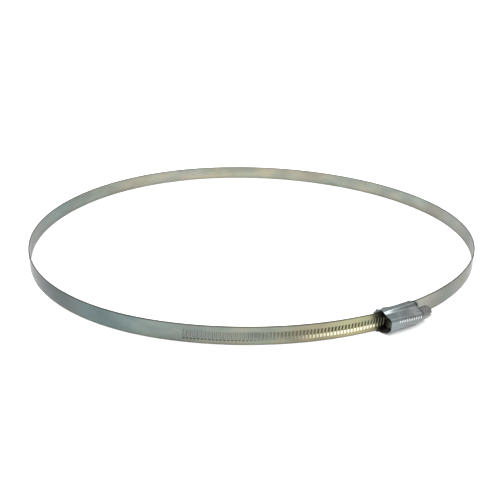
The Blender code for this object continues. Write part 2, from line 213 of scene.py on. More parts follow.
TIP_START = TAIL_TIP - TAIL_TIP_CORNER
GROOVE_SPACING = THREAD_PITCH * TAIL_RADIUS / (TAIL_RADIUS + BAND_THICKNESS / 2)
GROOVE_LEAN = THREAD_PITCH / (2 * pi * WORM_RADIUS)
SCREW_HEIGHT = CENTRE.y - TAIL_RADIUS - SCREW_AXIS.y
SCREW_OFFSET = SCREW_AXIS.z - CENTRE.z
ANCHOR_RADIUS = TAIL_RADIUS - BAND_THICKNESS - PLATE_GAP
SADDLE_RADIUS = ANCHOR_RADIUS - BAND_THICKNESS / 2 - PLATE_GAP - SADDLE_THICKNESS / 2
SADDLE_HEIGHT = SADDLE_RADIUS - TAIL_RADIUS             # of the plate's mid surface


# Meshes

SHARP = 32                      # degrees between faces, above which the edge between them isn't shaded smooth
BEVELLED_SHARP = 40


def piece(name, verts, faces, finish, layers=None):
    """A closed mesh object. layers gives, by name, a pair of numbers for each vertex, for the material."""
    mesh = bpy.data.meshes.new(name)
    mesh.from_pydata([tuple(v) for v in verts], [], faces)
    shape = bmesh.new()
    shape.from_mesh(mesh)
    bmesh.ops.recalc_face_normals(shape, faces=shape.faces)
    shape.to_mesh(mesh)
    shape.free()
    index = np.empty(len(mesh.loops), np.int32)
    mesh.loops.foreach_get("vertex_index", index)
    for layer_name, pairs in (layers or {}).items():
        layer = mesh.uv_layers.new(name=layer_name)
        layer.data.foreach_set("uv", np.asarray(pairs, np.float32)[index].ravel())
    mesh.materials.append(finish)
    mesh.shade_smooth()
    mesh.set_sharp_from_angle(angle=radians(SHARP))
    obj = bpy.data.objects.new(name, mesh)
    bpy.context.scene.collection.objects.link(obj)
    return obj


def loft(sections):
    """Verts and faces of a closed body through equal, closed outlines."""
    rows, size = len(sections), len(sections[0])
    verts = [point for outline in sections for point in outline]
    faces = [tuple(range(size - 1, -1, -1))]
    for row in range(rows - 1):
        for i in range(size):
            a, b = row * size + i, row * size + (i + 1) % size
            faces.append((a, b, b + size, a + size))
    faces.append(tuple(range((rows - 1) * size, rows * size)))
    return verts, faces


def joined(*bodies):
    """Verts and faces of several closed bodies as one mesh."""
    verts, faces = [], []
    for more_verts, more_faces in bodies:
        faces += [tuple(len(verts) + i for i in face) for face in more_faces]
        verts += more_verts
    return verts, faces


def apply_modifiers(obj):
    """Replaces an object's mesh by what its modifiers make of it."""
    bpy.context.view_layer.update()
    graph = bpy.context.evaluated_depsgraph_get()
    made = bpy.data.meshes.new_from_object(obj.evaluated_get(graph))
    obj.modifiers.clear()
    obj.data = made


def cut(obj, tool, operation):
    """Applies a Boolean with a tool object, and removes the tool."""
    modifier = obj.modifiers.new(operation.title(), "BOOLEAN")
    modifier.operation = operation
    modifier.object = tool
    apply_modifiers(obj)
    bpy.data.objects.remove(tool, do_unlink=True)


def bevel(obj, width, segments, angle):
    """Rounds the edges whose faces meet at more than an angle, in degrees."""
    modifier = obj.modifiers.new("Bevel", "BEVEL")
    modifier.width = width
    modifier.segments = segments
    modifier.limit_method = "ANGLE"
    modifier.angle_limit = radians(angle)
    modifier.harden_normals = False
    apply_modifiers(obj)
    obj.data.shade_smooth()
    obj.data.set_sharp_from_angle(angle=radians(BEVELLED_SHARP))


def smooth_step(value):
    """0 up to 0, 1 from 1 on, and an S-curve between them."""
    share = np.clip(value, 0, 1)
    return share * share * (3 - 2 * share)


def quarter(start, radius, steps=ROUND_STEPS):
    """Offsets round a quarter circle, from an angle in quarter turns."""
    angles = (start + np.linspace(0, 1, steps + 1)) * pi / 2
    return [(radius * cos(a), radius * sin(a)) for a in angles]


# Band


def band_path():
    """Centre, start heading, turn and radius of each arc after the tail, worked out from the hinges.

    A heading is a direction along the band, counted clockwise from -X. Each arc leaves its hinge in the
    direction in which the one before arrives, and all arcs turn by the same angle.
    """
    heading = TAIL_ROOT / TAIL_RADIUS
    found = []
    for start, end in zip(HINGES, HINGES[1:]):
        chord = end - start
        middle = atan2(chord.y, -chord.x)
        middle += 2 * pi * round((heading - middle) / (2 * pi))
        turn = 2 * (middle - heading)
        radius = chord.length / (2 * sin(turn / 2))
        found.append((start + radius * Vector((sin(heading), cos(heading), 0)), heading, turn, radius))
        heading += turn
    turn = found[0][2]
    middle, last = heading + turn / 2, heading + turn
    chord = Vector((-cos(middle), sin(middle)))
    reach = Vector((-sin(last), -cos(last)))
    gap = (CENTRE - HINGES[-1]).to_2d()
    length = (gap.x * reach.y - gap.y * reach.x) / (chord.x * reach.y - chord.y * reach.x)
    radius = length / (2 * sin(turn / 2))
    found.append((HINGES[-1] + radius * Vector((sin(heading), cos(heading), 0)), heading, turn, radius))
    return found


def on_circle(centre, radius, heading, z):
    """The point where a level circle runs at a heading, z above the band's middle."""
    return Vector((centre.x - radius * sin(heading), centre.y - radius * cos(heading), centre.z + z))


def band_outline(half_thickness=BAND_THICKNESS / 2, half_width=HALF_WIDTH, inset=0.0):
    """Outline of the strip as (outwards, z) pairs, with rounded edges."""
    radius = EDGE_RADIUS
    out, wide = half_thickness - radius, half_width - radius
    corners = ((out, wide, 0), (-out, wide, 1), (-out, -wide, 2), (out, -wide, 3))
    points = [(x + dx, z + dz) for x, z, start in corners for dx, dz in quarter(start, radius)]
    return [(x * (1 - inset / half_thickness), z * (1 - inset / half_width)) for x, z in points]


def band_strip(name, runs, finish):
    """A piece of band along runs of (centre, radius, first and last heading, arc length at the first)."""
    outline = band_outline()
    sections, places = [], []
    for centre, radius, first, last, along in runs:
        steps = max(2, round(abs(last - first) * radius / BAND_STEP))
        for heading in np.linspace(first, last, steps + 1)[1 if sections else 0:]:
            sections.append([on_circle(centre, radius + out, heading, z) for out, z in outline])
            places += [(along + (heading - first) * radius, z) for _, z in outline]
    return piece(name, *loft(sections), finish, {"Strip": places})


def build_band(finish):
    """The band between the tail and the housing: a piece across each hinge, and a short one at the end."""
    path = [(CENTRE, 0.0, 0.0, TAIL_RADIUS)] + band_path()
    along = TAIL_ROOT
    for index in range(1, len(path)):
        centre_a, heading_a, turn_a, radius_a = path[index - 1]
        centre_b, heading_b, turn_b, radius_b = path[index]
        first = BEND_START / TAIL_RADIUS if index == 1 else heading_a + turn_a / 2
        last = heading_b + turn_b / 2
        runs = [(centre_a, radius_a, first, heading_b, along - (heading_b - first) * radius_a),
                (centre_b, radius_b, heading_b, last, along)]
        obj = band_strip(f"band_{index:02d}", runs, finish)
        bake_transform(obj)
        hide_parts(f"band_arc_{index:02d}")
        along += turn_b * radius_b
    centre, heading, turn, radius = path[-1]
    runs = [(centre, radius, heading + turn / 2, heading + turn, along - turn / 2 * radius)]
    end = band_strip("band_end", runs, finish)
    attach(end, f"band_arc_{len(HINGES):02d}")


def groove_depth(along, z):
    """Depth of the pressed grooves at a place on the tail's outer face."""
    across = abs(z - SCREW_OFFSET) - (GROOVE_REACH - GROOVE_MOUTH / 2)
    straight = along - GROOVE_LEAN * (z - SCREW_OFFSET)
    nearest = min(round(straight / GROOVE_SPACING), LAST_GROOVE)
    if nearest < -THREADED_LENGTH / GROOVE_SPACING + 0.5:
        return 0.0
    away = hypot(straight - nearest * GROOVE_SPACING, max(across, 0.0)) / (GROOVE_MOUTH / 2)
    ramp = 1.0 if z > SCREW_OFFSET else float(smooth_step((z - SCREW_OFFSET + GROOVE_REACH) / GROOVE_RAMP))
    return GROOVE_DEPTH * ramp * (1 - float(smooth_step((away - GROOVE_FLOOR) / (1 - GROOVE_FLOOR))))


def tail_half_width(along):
    """Half of the tail's width, which the tip's round corners take down."""
    into_corner = along - TIP_START
    if into_corner <= 0:
        return HALF_WIDTH
    return HALF_WIDTH - TAIL_TIP_CORNER + (TAIL_TIP_CORNER**2 - min(into_corner, TAIL_TIP_CORNER)**2) ** 0.5


def tail_stations():
    """Arc lengths of the tail's sections, each with how far the tip's rounding draws in its edges."""
    fine = GROOVE_SPACING / GROOVE_SAMPLES
    stations = [-along for along in np.arange(BEND_START, THREADED_LENGTH + fine, -TAIL_STEP)]
    stations += list(np.arange(-THREADED_LENGTH, TIP_START, fine))
    stations += [TIP_START + TAIL_TIP_CORNER * sin(pi / 2 * i / TIP_STEPS) for i in range(TIP_STEPS)]
    ends = [(TAIL_TIP - EDGE_RADIUS * (1 - sin(a)), EDGE_RADIUS * (1 - cos(a)))
            for a in np.linspace(0, pi / 2, ROUND_STEPS)]
    return [(s, 0.0) for s in stations if s < ends[0][0] - SLACK] + ends


def build_tail(finish):
    """The threaded tail, with a row of leaning grooves pressed into its outer face."""
    across = [*FACE_TOP, *np.linspace(*GROOVED_ROWS), *FACE_BOTTOM]
    sections, places, pressed = [], [], []
    for along, inset in tail_stations():
        half = tail_half_width(along)
        outline = band_outline(half_width=half, inset=inset)
        inside = smooth_step((TIP_START - along) / LEAN_RUN) * smooth_step((along + BEND_START) / LEAN_RUN)
        lean = GROOVE_LEAN * float(inside)
        row = [(along, out, z) for out, z in outline]
        pressed += [(0.0, 0.0)] * len(outline)
        for share in reversed(across):
            z = share * (half - EDGE_RADIUS)
            zone = min(abs(z - SCREW_OFFSET), GROOVE_REACH) * (1 if z > SCREW_OFFSET else -1)
            fade = float(smooth_step((HALF_WIDTH - abs(z)) / LEAN_FADE))
            place = along + lean * zone * fade
            depth = groove_depth(place, z)
            row.append((place, BAND_THICKNESS / 2 - inset - depth, z))
            pressed.append((depth / GROOVE_DEPTH, (z - SCREW_OFFSET) / GROOVE_REACH))
        sections.append([on_circle(CENTRE, TAIL_RADIUS + out, -s / TAIL_RADIUS, z) for s, out, z in row])
        places += [(-s, z) for s, _, z in row]
    obj = piece("threaded_band_tail", *loft(sections), finish, {"Strip": places, "Groove": pressed})
    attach(obj, "tail")
    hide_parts("threaded_tail")


def build_fixed_end(finish):
    """The band's other end, which lies under the tail in the housing."""
    left, right = ANCHOR_LOW.x - CENTRE.x, ANCHOR_HIGH.x - CENTRE.x
    first, last = -asin(right / ANCHOR_RADIUS), -asin(left / ANCHOR_RADIUS)
    obj = band_strip("band_anchor", [(CENTRE, ANCHOR_RADIUS, first, last, 0)], finish)
    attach(obj, "clamp_head")
    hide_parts("band_fixed_end")


# Housing


def housing_point(x, height, z):
    """A place given in the housing's own terms."""
    return Vector((CENTRE.x + x, CENTRE.y - TAIL_RADIUS - height, CENTRE.z + z))


def rounded(corners, radius, steps=BEND_STEPS):
    """The corners of an open polyline, each replaced by points on a bend that touches both of its sides."""
    points = [Vector(corners[0])]
    for before, corner, after in zip(corners, corners[1:], corners[2:]):
        into = (Vector(corner) - Vector(before)).normalized()
        out = (Vector(after) - Vector(corner)).normalized()
        reach = radius * tan(abs(into.angle_signed(out)) / 2)
        for i in range(steps + 1):
            share = i / steps
            a = Vector(corner) - into * reach * (1 - share) ** 2
            points.append(a + out * reach * share**2)
    points.append(Vector(corners[-1]))
    return points


def resampled(points, spans):
    """Extra points on the long spans of a polyline, the same number for equal spans of every section."""
    made = []
    for (a, b), count in zip(zip(points, points[1:]), spans):
        made += [a.lerp(b, i / count) for i in range(count)]
    return made + [points[-1]]


def normals_of(points):
    """Unit vectors to the right of an open polyline's direction, at each of its points."""
    found = []
    for i in range(len(points)):
        a, b = points[max(i - 1, 0)], points[min(i + 1, len(points) - 1)]
        side = (b - a).normalized()
        found.append(Vector((side.y, -side.x)))
    return found


def shell_line(x):
    """The outer line of the shell's section at a place along it."""
    left, right = HOUSING_LOW.x - CENTRE.x, HOUSING_HIGH.x - CENTRE.x
    share = (x - left) / (right - left)
    pairs = zip(LEFT_SECTION, RIGHT_SECTION)
    corners = [(Vector(a) * (1 - share) + Vector(b) * share) * MM for a, b in pairs]
    feet = np.array(SKIRT_FEET) * MM
    corners[0].x = corners[-1].x = np.interp(x, feet[:, 0], feet[:, 1])
    points = rounded(corners, SHELL_BEND)
    spans = []
    for face in range(len(corners) - 1):
        spans.append(DASH_FACE_SPANS if face == DASH_FACE else FACE_SPANS)
        spans += [1] * BEND_STEPS if face < len(corners) - 2 else []
    return resampled(points, spans)


def dash_depth(x, z):
    """Depth of the plain pressed dashes in the outermost face."""
    row = DASH_Z[0] + DASH_Z[1] * x
    straight = x - DASH_LEAN * (z - row)
    index = min(max(round((straight - DASH_FIRST) / DASH_PITCH), 0), DASH_COUNT - 1)
    beside = straight - DASH_FIRST - index * DASH_PITCH
    away = hypot(beside, max(abs(z - row) - DASH_LENGTH, 0)) / DASH_WIDTH
    return DASH_DEPTH * (1 - float(smooth_step((away - DASH_FLOOR) / (1 - DASH_FLOOR))))


def end_wall(right):
    """The wall at the shell's right end, open towards the band."""
    line = shell_line(right)
    rim = [p + n * SHELL_THICKNESS / 2 for p, n in zip(line, normals_of(line))]
    rim = [p for p in rim if p.x > END_WALL_FOOT]
    opening = []
    for angle in np.linspace(END_WALL_MOUTH - pi, pi - END_WALL_MOUTH, END_WALL_BORE_STEPS):
        along, across = END_WALL_BORE * cos(angle), END_WALL_BORE * sin(angle)
        opening.append(Vector((SCREW_HEIGHT + along, SCREW_OFFSET + across)))
    foot = [Vector((END_WALL_FOOT, z)) for z in (rim[-1].y, opening[0].y, opening[-1].y, rim[0].y)]
    outline = rim + foot[:2] + opening + foot[2:]
    return loft([[housing_point(x, *p) for p in outline] for x in (right - END_WALL, right - SLACK)])


def shell_stations(left, right):
    """Places of the shell's sections along it, each with how far its faces are drawn in at a rounded rim."""
    angles = np.linspace(0, pi / 2, ROUND_STEPS)
    rounds = [(RIM_RADIUS * (1 - cos(a)), RIM_RADIUS * (1 - sin(a))) for a in angles]
    stations = [(left + step, inset) for step, inset in rounds]
    stations += [(x, 0.0) for x in np.arange(left + 2 * RIM_RADIUS, right - 2 * RIM_RADIUS, SHELL_STEP)]
    stations += [(right - step, inset) for step, inset in reversed(rounds)]
    return stations


def build_housing(finish):
    """The pressed shell, open at its left end, and the wall that holds the screw's neck."""
    left, right = HOUSING_LOW.x - CENTRE.x, HOUSING_HIGH.x - CENTRE.x
    sections, sides = [], []
    for x, inset in shell_stations(left, right):
        line = shell_line(x)
        normals = normals_of(line)
        depths = [dash_depth(x, p.y) * (p.x > DASH_FACE_FROM) for p in line]
        outer = [p + n * (inset + depth) for p, n, depth in zip(line, normals, depths)]
        inner = [p + n * (SHELL_THICKNESS - inset) for p, n in zip(line, normals)]
        sections.append([housing_point(x, *p) for p in outer + inner[::-1]])
        # The first number of the Side layer is 1 on the inside and on the left rim, which painted shade
        # darkens, and a share on the dark stretch at the right end.
        rim = 1.0 if x < left + RIM_RADIUS / 2 else 0.0
        darkened_end = float(smooth_step((x - right + DARK_END) / DARK_END)) * DARK_END_SHARE
        for point, depth in zip(line, depths):
            sides.append((max(rim, darkened_end * (point.y > DARK_END_FOOT)), depth / DASH_DEPTH))
        sides += [(1.0, 0.0)] * len(inner)
    wall = end_wall(right)
    sides += [(0.0, 0.0)] * len(wall[0])
    obj = piece("clamp_housing", *joined(loft(sections), wall), finish, {"Side": sides})
    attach(obj, "clamp_head")
    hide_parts("housing")


def on_plate(x, out, z):
    """The point at a place along the saddle, at a height outwards from the tail's mid surface."""
    return on_circle(CENTRE, TAIL_RADIUS + out, -asin(x / SADDLE_RADIUS), z)


def saddle_plate(left, right):
    """The curved plate, with round corners at its left end."""
    corner = [left + PLATE_CORNER * (1 - cos(a)) for a in np.linspace(0, pi / 2, PLATE_CORNER_STEPS)]
    sections = []
    for x in corner + list(np.linspace(corner[-1], right, PLATE_STEPS + 1)[1:]):
        into_corner = max(PLATE_CORNER - (x - left), 0)
        wide = SADDLE_HALF_WIDTH - PLATE_CORNER + (PLATE_CORNER**2 - into_corner**2) ** 0.5
        outline = band_outline(SADDLE_THICKNESS / 2, wide)
        sections.append([on_plate(x, out + SADDLE_HEIGHT, z) for out, z in outline])
    return loft(sections)


def saddle_tab(left, side):
    """A tab bent up beside the band; side is 1 at the top edge and -1 at the bottom one."""
    outer = TAB_INNER + TAB_THICKNESS
    low, high = SADDLE_HEIGHT - SADDLE_THICKNESS / 2, SADDLE_HEIGHT + SADDLE_THICKNESS / 2
    line = [(low, SADDLE_HALF_WIDTH - TAB_LAP), (low, outer - TAB_BEND)]
    line += [(low + TAB_BEND - TAB_BEND * cos(a), outer - TAB_BEND + TAB_BEND * sin(a))
             for a in np.linspace(pi / 12, pi / 2, TAB_BEND_STEPS)]
    line += [(TAB_TOP - TAB_CORNER, outer), (TAB_TOP, outer - TAB_CORNER)]
    line += [(TAB_TOP, TAB_INNER + TAB_CORNER), (TAB_TOP - TAB_CORNER, TAB_INNER)]
    line += [(high, TAB_INNER), (high, SADDLE_HALF_WIDTH - TAB_LAP)]
    sections = []
    for x in np.linspace(left, TAB_RIGHT, TAB_SECTIONS):
        slant = [TAB_SLANT * min(max((TAB_SLANT_TOP - out) / (TAB_SLANT_TOP - low), 0), 1) for out, _ in line]
        sections.append([on_plate(x + (TAB_RIGHT - x) * share, out, side * z)
                         for (out, z), share in zip(line, slant)])
    return loft(sections)


def build_saddle(finish):
    """The plate under the band, with two bent-up tabs."""
    left, right = SADDLE_LOW.x - CENTRE.x, SADDLE_HIGH.x - CENTRE.x
    bodies = (saddle_plate(left, right), saddle_tab(LOWER_TAB_LEFT, -1), saddle_tab(left, 1))
    obj = piece("clamp_saddle", *joined(*bodies), finish)
    bevel(obj, *SADDLE_BEVEL)
    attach(obj, "clamp_head")
    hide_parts("saddle")


# Screw


def screw_ray(x, radius, angle):
    """The point at a distance from the screw's axis, at an angle from the side that faces the band."""
    return housing_point(x, SCREW_HEIGHT - radius * cos(angle), SCREW_OFFSET + radius * sin(angle))


def turned(profile, sides=TURNED_SIDES):
    """A body turned about the screw's axis from (x, radius) points, with flat ends."""
    return loft([[screw_ray(x, radius, 2 * pi * i / sides) for i in range(sides)] for x, radius in profile])


def thread_ridge():
    """The helical ridge, with a rounded crest, rising from the core and sinking back at its ends."""
    count = round(THREAD_TURNS * THREAD_STEPS)
    phase = THREAD_LEFT / THREAD_PITCH
    lowest = WORM_ROOT + SLACK
    base = WORM_ROOT - THREAD_SUNK
    sections = []
    for i in range(count + 1):
        turns = i / THREAD_STEPS
        height = min(1.0, turns / THREAD_RUNOUT, (count - i) / THREAD_STEPS / THREAD_RUNOUT)
        middle = THREAD_LEFT + turns * THREAD_PITCH
        crest = lowest + (WORM_RADIUS - lowest) * height
        shoulder = crest - THREAD_ROUND * height
        profile = ((-THREAD_BASE / 2, base), (-THREAD_CREST / 2, shoulder), (-THREAD_CREST / 3, crest),
                   (THREAD_CREST / 3, crest), (THREAD_CREST / 2, shoulder), (THREAD_BASE / 2, base))
        angle = 2 * pi * (turns + phase)
        sections.append([screw_ray(middle + across, radius, angle) for across, radius in profile])
    return loft(sections)


def screw_core(head_right):
    """The worm's core, the neck that reaches into the head, and the collar."""
    collar_right = COLLAR_LEFT + COLLAR_WIDTH
    profile = [(WORM_LEFT + x * MM, WORM_ROOT - drop * MM) for x, drop in WORM_NOSE]
    profile += [(WORM_RIGHT, WORM_ROOT), (COLLAR_LEFT, NECK_RADIUS)]
    profile += [(COLLAR_LEFT, COLLAR_RADIUS - COLLAR_EDGE), (COLLAR_LEFT + COLLAR_EDGE, COLLAR_RADIUS)]
    profile += [(collar_right - COLLAR_EDGE, COLLAR_RADIUS), (collar_right, COLLAR_RADIUS - COLLAR_EDGE)]
    profile += [(collar_right, NECK_RADIUS), (head_right - NECK_LAP, NECK_RADIUS)]
    return turned(profile)


def screw_head(head_right, finish):
    """Verts and faces of the slotted hexagon head, with its crown turned off to a cone."""
    head_left = COLLAR_LEFT + COLLAR_WIDTH / 2
    head = piece("head", *turned(((head_left, HEAD_CORNER), (head_right, HEAD_CORNER)), 6), finish)
    crown = [(head_left - CUT_MARGIN, HEAD_CORNER + CUT_MARGIN)]
    crown += [(head_right - x * MM, HEAD_CORNER + past * MM) for x, past in HEAD_CROWN]
    crown += [(head_right - CROWN_GAP, HEAD_FLATS / 2 - HEAD_FACE_INSET)]
    cut(head, piece("crown", *turned(crown, CROWN_SIDES), finish), "INTERSECT")
    corners = [(SLOT_REACH * a, SLOT_WIDTH / 2 * b) for a, b in ((-1, -1), (1, -1), (1, 1), (-1, 1))]
    slot = [[screw_ray(x, hypot(*corner), atan2(corner[1], corner[0])) for corner in corners]
            for x in (head_right - SLOT_DEPTH, head_right + CUT_MARGIN)]
    cut(head, piece("slot", *loft(slot), finish), "DIFFERENCE")
    bevel(head, *HEAD_BEVEL)
    verts = [vertex.co.copy() for vertex in head.data.vertices]
    faces = [tuple(face.vertices) for face in head.data.polygons]
    bpy.data.objects.remove(head, do_unlink=True)
    return verts, faces


def build_screw(finish):
    """The worm, its neck and collar, and the slotted hexagon head."""
    head_right = SCREW_RIGHT - CENTRE.x
    bodies = (screw_core(head_right), thread_ridge(), screw_head(head_right, finish))
    obj = piece("clamp_screw", *joined(*bodies), finish)
    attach(obj, "screw")
    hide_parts("worm_screw")


# Materials


class Nodes:
    """Short calls for building a material's node tree."""

    def __init__(self, name):
        self.material = bpy.data.materials.new(name)
        self.material.use_nodes = True
        self.tree = self.material.node_tree
        self.shader = self.tree.nodes["Principled BSDF"]

    def add(self, kind, inputs=None, **settings):
        node = self.tree.nodes.new(kind)
        for key, value in settings.items():
            setattr(node, key, value)
        for key, value in (inputs or {}).items():
            self.put(node.inputs[key], value)
        return node

    def put(self, socket, value):
        if isinstance(value, bpy.types.NodeSocket):
            self.tree.links.new(value, socket)
        else:
            socket.default_value = value

    def math(self, operation, a, b=0.0):
        return self.add("ShaderNodeMath", {0: a, 1: b}, operation=operation).outputs[0]

    def times(self, a, b):
        return self.math("MULTIPLY", a, b)

    def span(self, value, low, high, to_low=0.0, to_high=1.0):
        """Goes smoothly from to_low to to_high while a value goes from low to high, and is level outside."""
        ends = {"From Min": low, "From Max": high, "To Min": to_low, "To Max": to_high}
        node = self.add("ShaderNodeMapRange", {"Value": value, **ends}, interpolation_type="SMOOTHSTEP")
        return node.outputs["Result"]

    def parts(self, vector):
        """The numbers of a vector."""
        return self.add("ShaderNodeSeparateXYZ", {0: vector}).outputs

    def layer(self, name):
        """The pair of numbers that a mesh gives by name."""
        return self.add("ShaderNodeUVMap", uv_map=name).outputs[0]

    def mix(self, share, a, b, blend="MIX"):
        """Goes from one colour to the other, by a share."""
        node = self.add("ShaderNodeMix", data_type="RGBA", blend_type=blend)
        self.put(node.inputs["Factor"], share)
        for socket, value in ((node.inputs["A"], a), (node.inputs["B"], b)):
            self.put(socket, (*value, 1) if isinstance(value, tuple) else value)
        return node.outputs["Result"]

    def noise(self, place, scale, stretch, detail, roughness=0.55):
        """Noise from 0 to 1, squeezed along each axis by the numbers of stretch."""
        stretched = self.add("ShaderNodeMapping", {"Vector": place, "Scale": stretch}).outputs[0]
        return self.add("ShaderNodeTexNoise", {"Vector": stretched, "Scale": scale, "Detail": detail,
                                               "Roughness": roughness}).outputs["Fac"]

    def ramp(self, value, stops):
        """Colours at places from 0 to 1 along a value, joined smoothly."""
        node = self.add("ShaderNodeValToRGB", {"Fac": value})
        node.color_ramp.interpolation = "EASE"
        elements = node.color_ramp.elements
        while len(elements) < len(stops):
            elements.new(0.5)
        for element, (place, colour) in zip(elements, stops):
            element.position = place
            element.color = (*colour, 1)
        return node.outputs["Color"]

    def finish(self, colour, roughness, height, distance, strength):
        """The material, as bare metal with a bump from the height, which spans a distance."""
        bump = self.add("ShaderNodeBump", {"Height": height, "Distance": distance, "Strength": strength})
        self.put(self.shader.inputs["Base Color"], colour)
        self.put(self.shader.inputs["Roughness"], roughness)
        self.put(self.shader.inputs["Normal"], bump.outputs[0])
        self.shader.inputs["Metallic"].default_value = 1.0
        return self.material


MOST_NOISE = (0.3, 0.7)         # ends of the range that noise mostly stays in
UPPER_NOISE = (0.35, 0.7)
MIDDLE_NOISE = (0.36, 0.64)
LINE_HEIGHT = 0.6               # shares of a bump's height
SPECK_HEIGHT = 0.4

# The strip's colour along it, as (millimetres, colour): the plating's own tint with painted light and shade
# in it.
# The plating is yellow beside the housing and bluish farther along the tail. A painted shadow darkens it
# under the housing's left end, painted shade darkens it on the loop's -X side and again before the housing's
# other end, and painted light makes it pale round its back.
TONES_TO = 1.2                  # metres
BAND_TINT_AND_PAINTED_LIGHT = (
    (14, (0.055, 0.055, 0.04)),
    (22, (0.24, 0.23, 0.14)),
    (32, (0.25, 0.24, 0.145)),
    (54, (0.185, 0.18, 0.125)),
    (96, (0.16, 0.17, 0.145)),
    (144, (0.125, 0.15, 0.145)),
    (200, (0.08, 0.11, 0.115)),
    (240, (0.036, 0.046, 0.048)),
    (274, (0.024, 0.024, 0.024)),
    (324, (0.048, 0.048, 0.042)),
    (420, (0.11, 0.135, 0.13)),
    (540, (0.20, 0.20, 0.17)),
    (575, (0.23, 0.23, 0.20)),
    (612, (0.21, 0.21, 0.17)),
    (840, (0.18, 0.19, 0.17)),
    (906, (0.15, 0.155, 0.145)),
    (942, (0.075, 0.077, 0.07)),
    (1008, (0.056, 0.058, 0.044)),
    (1046, (0.085, 0.09, 0.08)),
    (1085, (0.20, 0.205, 0.19)),
)
WORN = (1.45, 1.40, 1.32)       # how much lighter the worn patches are
COOL, WARM = (0.94, 1.01, 1.02), (1.06, 1.00, 0.95)
ROLLING_LINE = (0.06, 0.065, 0.06)
LOWER_SHADE = (0.085, 0.078, 0.050)
LOWER_SHADE_FADES = (-5.4 * MM, -2.6 * MM)
DARK_EDGE = (0.040, 0.037, 0.028)
DARK_EDGE_FROM = (5.1 * MM, 5.9 * MM)

# The light painted into the pressed grooves, and where along the strip each part comes in or fades out:
# painted shade in their upper parts, a painted highlight at their lower ends, a lighter painted sheen in them
# farther along, and painted shade at their lower ends there. A depth is a share of the whole depth, and a
# place goes from -1 at a groove's lower end to 1 at its upper one.
HOLLOW_DEPTH = (0.15, 0.75)
# painted shade in a groove's upper part
PAINTED_STROKE_SHADE = (0.060, 0.060, 0.040)
PAINTED_STROKE_SHADE_PLACE = (-0.3, -0.05)
PAINTED_STROKE_SHADE_FADES = (40 * MM, 105 * MM)
# painted highlight at a groove's lower end
PAINTED_GROOVE_HIGHLIGHT = (0.80, 0.78, 0.62)
PAINTED_GROOVE_HIGHLIGHT_DEPTH = (0.1, 0.5)
PAINTED_GROOVE_HIGHLIGHT_PLACE = (-0.35, -0.1)
PAINTED_GROOVE_HIGHLIGHT_FROM = (15 * MM, 21 * MM)
PAINTED_GROOVE_HIGHLIGHT_FADES = (38 * MM, 78 * MM)
# lighter painted sheen in the grooves farther along
PAINTED_GROOVE_SHEEN = (0.26, 0.27, 0.25)
PAINTED_GROOVE_SHEEN_FROM = (90 * MM, 115 * MM)
# painted shade at a groove's lower end, farther along
PAINTED_PIT_SHADE = (0.016, 0.017, 0.012)
PAINTED_PIT_SHADE_DEPTH = (0.08, 0.3)
PAINTED_PIT_SHADE_BOTTOM = (-0.98, -0.84)
PAINTED_PIT_SHADE_TOP = (-0.76, -0.62)
PAINTED_PIT_SHADE_FROM = (80 * MM, 105 * MM)


def band_plating_and_painted_light(n, uv, patches, lines):
    """The strip's colour: its plating's tint with painted shade and painted light along it, worn patches,
    slight changes of tint, rolling lines, a darker lower part and darker edges.
    """
    along, across = n.parts(uv)[0], n.parts(uv)[1]
    stops = [(place * MM / TONES_TO, colour) for place, colour in BAND_TINT_AND_PAINTED_LIGHT]
    # the plating's tint, with painted shade and painted light along the strip
    tone = n.ramp(n.math("DIVIDE", along, TONES_TO), stops)
    colour = n.mix(n.span(patches, *MOST_NOISE), tone, n.mix(1.0, tone, WORN, "MULTIPLY"))
    tint = n.mix(n.span(n.noise(uv, 26, (1, 2.2, 1), 2), *MIDDLE_NOISE), COOL, WARM)
    colour = n.mix(1.0, colour, tint, "MULTIPLY")
    colour = n.mix(n.span(lines, *MOST_NOISE, 0.0, 0.16), colour, ROLLING_LINE)
    colour = n.mix(n.span(across, *LOWER_SHADE_FADES, 0.3, 0.0), colour, LOWER_SHADE)
    return n.mix(n.span(n.math("ABSOLUTE", across), *DARK_EDGE_FROM, 0.0, 0.85), colour, DARK_EDGE)


def groove_painted_light(n, along, colour):
    """Adds the light painted into the grooves: painted shade in their upper parts, a painted highlight at
    their lower ends, a lighter painted sheen farther along, and there painted shade again at their lower
    ends.
    """
    pressed = n.parts(n.layer("Groove"))
    depth, place = pressed[0], pressed[1]
    hollow = n.span(depth, *HOLLOW_DEPTH)
    stroke_shade = n.times(hollow, n.span(place, *PAINTED_STROKE_SHADE_PLACE))
    colour = n.mix(n.times(stroke_shade, n.span(along, *PAINTED_STROKE_SHADE_FADES, 1.0, 0.15)), colour, PAINTED_STROKE_SHADE)
    highlight = n.times(n.span(depth, *PAINTED_GROOVE_HIGHLIGHT_DEPTH), n.span(place, *PAINTED_GROOVE_HIGHLIGHT_PLACE, 1.0, 0.0))
    highlight = n.times(highlight, n.span(along, *PAINTED_GROOVE_HIGHLIGHT_FROM))
    colour = n.mix(n.times(highlight, n.span(along, *PAINTED_GROOVE_HIGHLIGHT_FADES, 1.0, 0.0)), colour, PAINTED_GROOVE_HIGHLIGHT)
    colour = n.mix(n.times(hollow, n.span(along, *PAINTED_GROOVE_SHEEN_FROM, 0.0, 0.3)), colour, PAINTED_GROOVE_SHEEN)
    pit_shade = n.times(n.span(place, *PAINTED_PIT_SHADE_BOTTOM), n.span(place, *PAINTED_PIT_SHADE_TOP, 1.0, 0.0))
    pit_shade = n.times(pit_shade, n.span(depth, *PAINTED_PIT_SHADE_DEPTH))
    return n.mix(n.times(pit_shade, n.span(along, *PAINTED_PIT_SHADE_FROM, 0.0, 0.9)), colour, PAINTED_PIT_SHADE)


